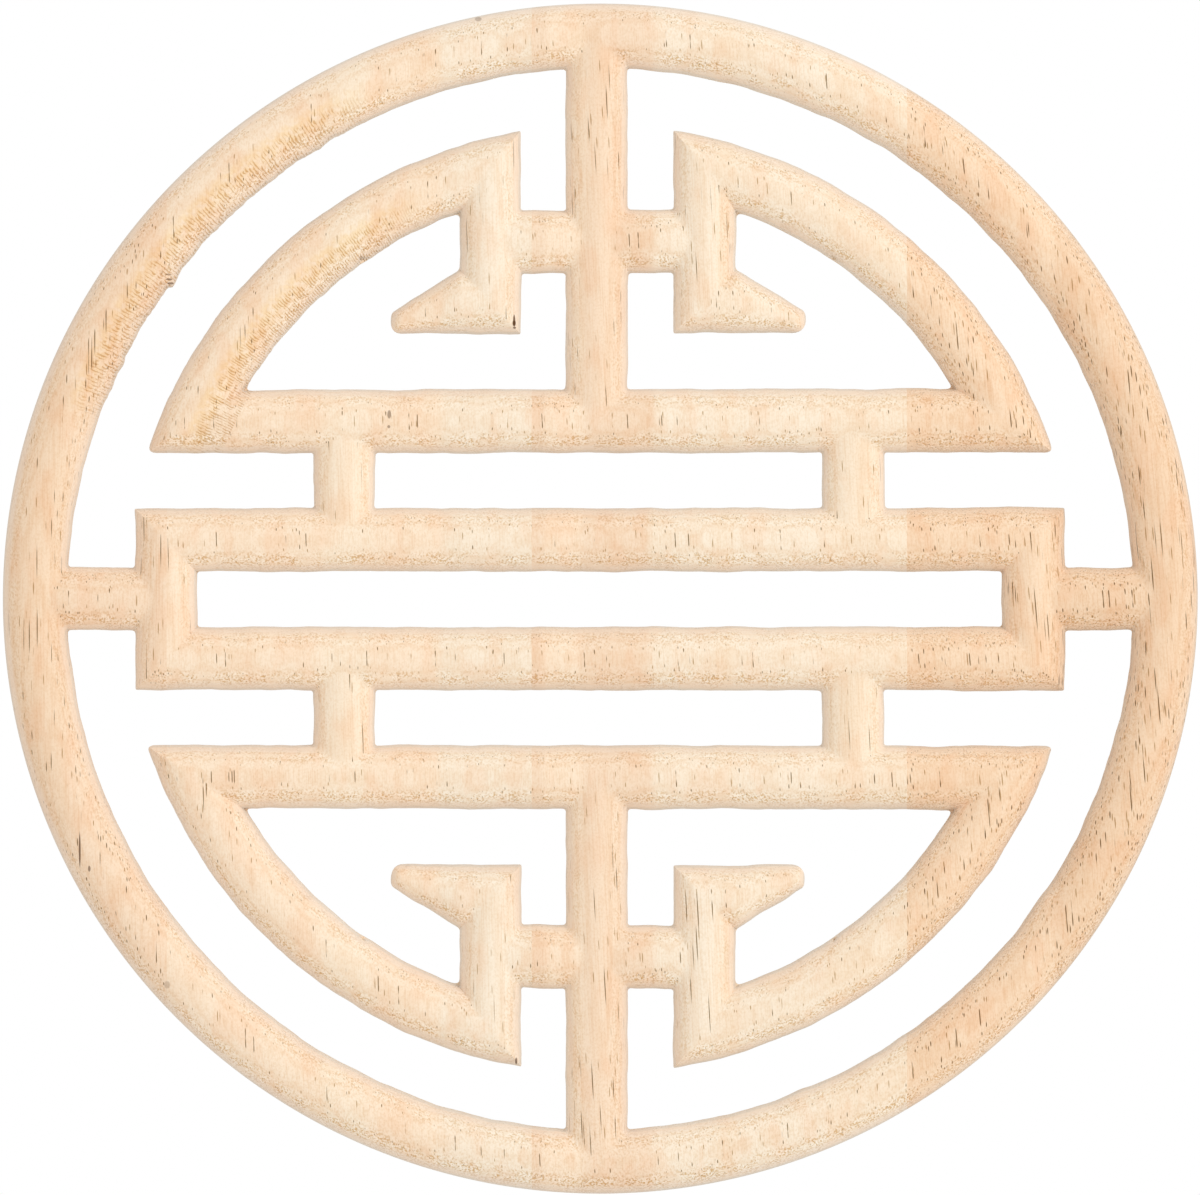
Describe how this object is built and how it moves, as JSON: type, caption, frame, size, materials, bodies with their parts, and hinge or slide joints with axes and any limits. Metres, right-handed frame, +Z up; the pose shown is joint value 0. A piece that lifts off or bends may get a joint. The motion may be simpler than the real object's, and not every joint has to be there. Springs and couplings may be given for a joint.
{
  "type": "carved wooden rosette",
  "caption": "Flat-backed round fretwork rosette in raw pale wood: a ring around hooked lunes, crossbars and a long rectangle, every bar with a rounded crown.",
  "frame": {"origin": "centre of the ring, in the plane of the flat back", "axes": "+Z up, +X to the right as seen from the front, +Y out of the back into the wall; the crowns face -Y"},
  "size_m": [0.3, 0.013, 0.3],
  "materials": {
    "raw_wood": "raw, unvarnished, cut by a router and lightly sanded"
  },
  "bodies": {
    "root": {"rosette": "raw_wood"}
  },
  "joints": []
}
